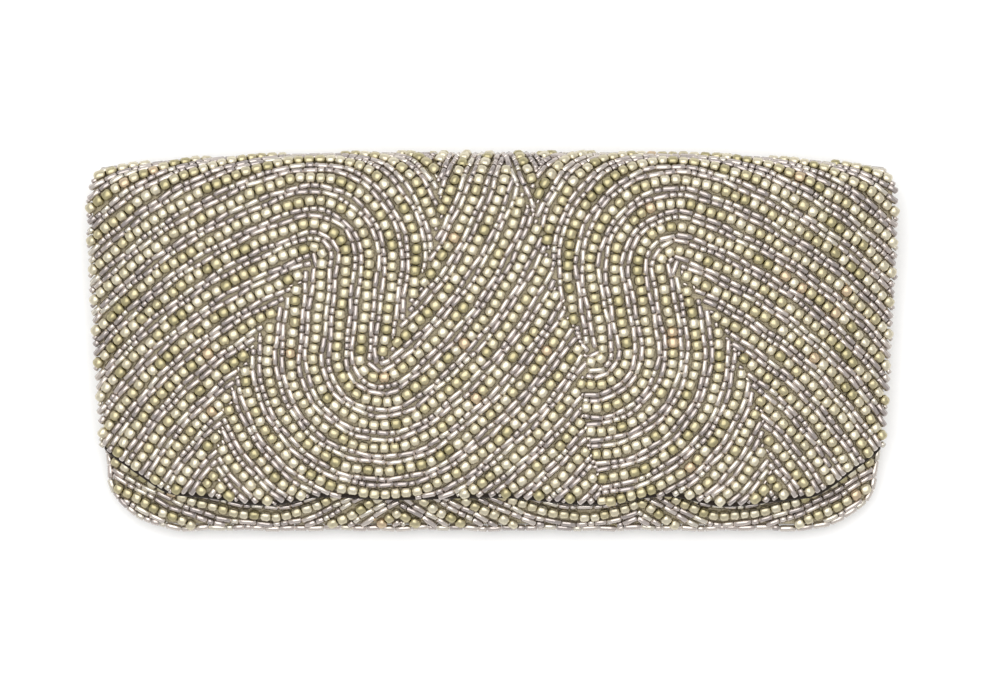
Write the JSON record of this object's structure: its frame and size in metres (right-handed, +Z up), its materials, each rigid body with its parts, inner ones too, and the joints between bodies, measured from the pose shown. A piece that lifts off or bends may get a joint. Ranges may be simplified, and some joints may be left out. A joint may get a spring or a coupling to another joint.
{
  "type": "beaded clutch bag",
  "caption": "Soft fold-over evening clutch paved with strung glass beads in swirling rows, lying flat with its flap closed over a sewn pocket",
  "frame": {"origin": "centre of the bounding box's bottom face, on the surface that the clutch lies on", "axes": "+X to the right as the flap is looked at, +Y to the rolled top, +Z up, out of the flap"},
  "size_m": [0.241, 0.1142, 0.024],
  "materials": {
    "backing_cloth": "matte",
    "gold_bead": "satin",
    "silver_bugle": "gloss"
  },
  "bodies": {
    "root": {"back_flap_cloth": "backing_cloth", "back_flap_beadwork": "gold_bead", "front_pocket_cloth": "backing_cloth", "front_pocket_beadwork": "gold_bead"}
  },
  "joints": []
}
